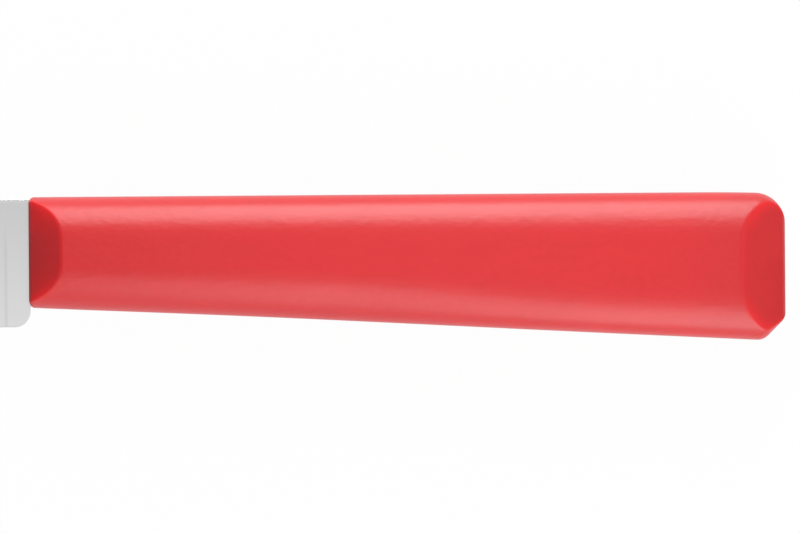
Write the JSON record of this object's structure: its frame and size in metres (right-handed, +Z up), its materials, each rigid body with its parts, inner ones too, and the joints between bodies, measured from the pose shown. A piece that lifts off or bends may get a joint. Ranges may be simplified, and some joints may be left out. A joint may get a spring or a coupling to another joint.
{
  "type": "paring knife",
  "caption": "Short fixed-blade kitchen knife: a flat-ground steel blade with a hidden tang, bedded in a barrelled, lacquered wooden handle with planed end facets.",
  "frame": {"origin": "under the middle of the knife's box, on the surface that it lies on", "axes": "+X along the handle towards the butt, so the point is towards -X; +Y towards the spine, so the cutting edge is towards -Y; +Z up from the surface, across the handle's thickness"},
  "size_m": [0.196, 0.0212, 0.0126],
  "materials": {
    "satin_steel": "satin, with fine grinding lines that run from the spine to the edge",
    "red_lacquered_wood": "hardwood under opaque red satin lacquer, the grain faintly showing along the handle",
    "cured_epoxy": "cured amber epoxy"
  },
  "bodies": {
    "root": {"blade": "satin_steel", "handle": "red_lacquered_wood", "tang_adhesive": "cured_epoxy"}
  },
  "joints": []
}
